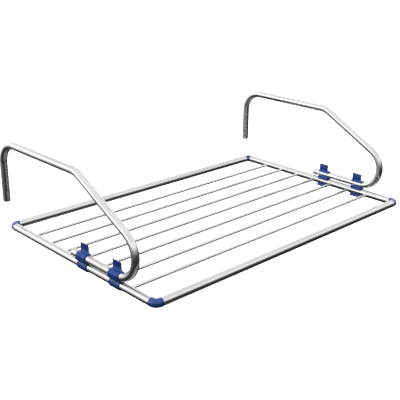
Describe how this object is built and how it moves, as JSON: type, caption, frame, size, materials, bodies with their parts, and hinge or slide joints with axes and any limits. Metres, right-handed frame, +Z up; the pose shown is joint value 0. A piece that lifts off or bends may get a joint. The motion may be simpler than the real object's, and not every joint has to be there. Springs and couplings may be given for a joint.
{
  "type": "hook-over drying rack",
  "caption": "Flat rectangular tube frame strung with thin drying rods, with two bent tube hook arms held on the side rails by double snap clips.",
  "frame": {"origin": "midway between the two hook arms, on the underside line of their straight top runs and in the plane of the front faces of their hanging legs: where the top back edge of the wall or railing sits", "axes": "+X to the right along the rods and the long rails, +Y towards the wall, -Y towards the room and the picture's viewer, +Z up"},
  "size_m": [0.7268, 0.4818, 0.1968],
  "materials": {
    "tube": "satin silver-grey lacquer on steel tube",
    "rod": "bright drawn steel wire rod",
    "elbow": "semi-gloss moulded plastic, royal blue",
    "clip": "semi-gloss moulded plastic, royal blue",
    "plug": "matt moulded plastic, grey"
  },
  "bodies": {
    "frame": {"front_rail": "tube", "back_rail": "tube", "left_rail": "tube", "right_rail": "tube", "front_left_elbow": "elbow", "front_right_elbow": "elbow", "back_left_elbow": "elbow", "back_right_elbow": "elbow", "drying_rod_1": "rod", "drying_rod_2": "rod", "drying_rod_3": "rod", "drying_rod_4": "rod", "drying_rod_5": "rod", "drying_rod_6": "rod", "drying_rod_7": "rod"},
    "left_front_clip": {"left_front_clip": "clip"},
    "left_rear_clip": {"left_rear_clip": "clip"},
    "left_arm": {"left_arm": "tube", "left_hook_plug": "plug", "left_foot_plug": "plug"},
    "right_front_clip": {"right_front_clip": "clip"},
    "right_rear_clip": {"right_rear_clip": "clip"},
    "right_arm": {"right_arm": "tube", "right_hook_plug": "plug", "right_foot_plug": "plug"}
  },
  "joints": [
    {"name": "left_front_clip_slide", "type": "slide", "parent": "frame", "child": "left_front_clip", "axis": [0, 1, 0], "range_m": [-0.07, 0.215]},
    {"name": "left_rear_clip_slide", "type": "slide", "parent": "frame", "child": "left_rear_clip", "axis": [0, 1, 0], "range_m": [-0.07, 0.215]},
    {"name": "left_arm_fold", "type": "hinge", "parent": "left_front_clip", "child": "left_arm", "pos_m": [-0.354, -0.29695, -0.152], "axis": [0, 1, 0], "range_deg": [-90, 90]},
    {"name": "right_front_clip_slide", "type": "slide", "parent": "frame", "child": "right_front_clip", "axis": [0, 1, 0], "range_m": [-0.07, 0.215]},
    {"name": "right_rear_clip_slide", "type": "slide", "parent": "frame", "child": "right_rear_clip", "axis": [0, 1, 0], "range_m": [-0.07, 0.215]},
    {"name": "right_arm_fold", "type": "hinge", "parent": "right_front_clip", "child": "right_arm", "pos_m": [0.354, -0.29695, -0.152], "axis": [0, -1, 0], "range_deg": [-90, 90]}
  ],
  "couplings": [
    {"joint": "left_rear_clip_slide", "follows": "left_front_clip_slide", "ratio": 1},
    {"joint": "right_rear_clip_slide", "follows": "right_front_clip_slide", "ratio": 1}
  ]
}
